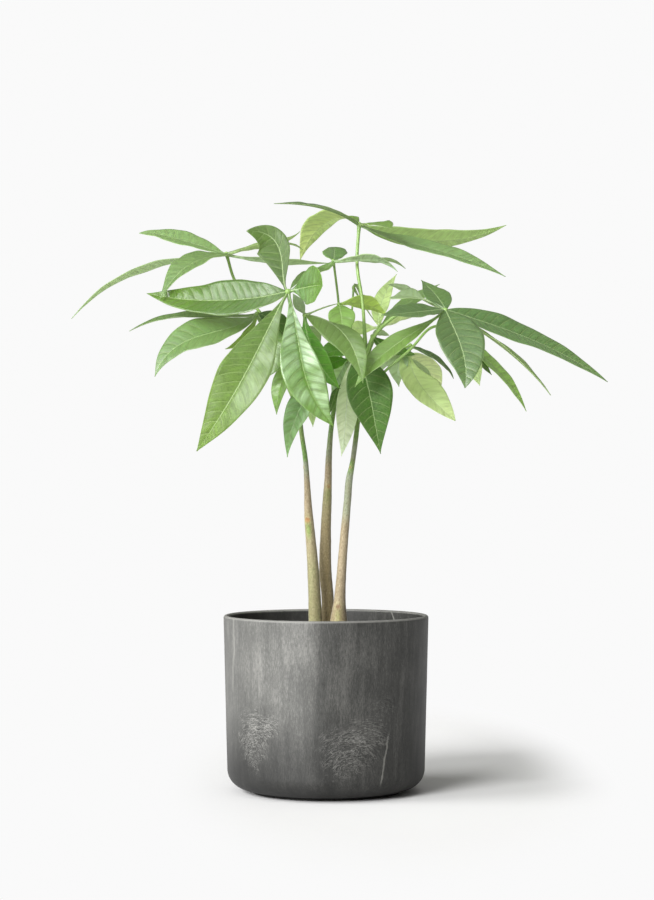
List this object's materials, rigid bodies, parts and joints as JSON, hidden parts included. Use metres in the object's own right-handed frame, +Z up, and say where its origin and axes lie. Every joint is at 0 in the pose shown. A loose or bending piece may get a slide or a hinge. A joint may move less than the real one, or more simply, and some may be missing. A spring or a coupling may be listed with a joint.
{
  "type": "potted money tree",
  "caption": "Potted houseplant: slender upright stems with hand-shaped glossy leaves, standing in soil in a plain stone-look cylinder pot.",
  "frame": {"origin": "on the ground under the middle of the pot", "axes": "+Z up along the pot's axis, -Y the front seen in the reference view, +X to its right"},
  "size_m": [0.4987, 0.2884, 0.5456],
  "materials": {
    "pot": "matte",
    "soil": "matte",
    "bark": "matte",
    "leaf": "satin"
  },
  "bodies": {
    "root": {"pot": "pot", "soil": "soil", "trunk_left": "bark", "trunk_middle": "bark", "trunk_right": "bark", "leaf_front": "leaf", "leaf_upper_left": "leaf", "leaf_crown": "leaf", "leaf_right": "leaf", "leaf_upper_middle": "leaf", "leaf_middle": "leaf", "leaf_inner": "leaf", "leaf_left": "leaf", "leaf_lower": "leaf", "leaf_centre": "leaf", "leaf_stem_top": "leaf", "leaf_back": "leaf", "leaf_lower_right": "leaf", "leaf_behind_right": "leaf", "leaf_young": "leaf", "leaf_folded": "leaf", "leaf_rear_left": "leaf", "leaf_rear_right": "leaf"}
  },
  "joints": []
}
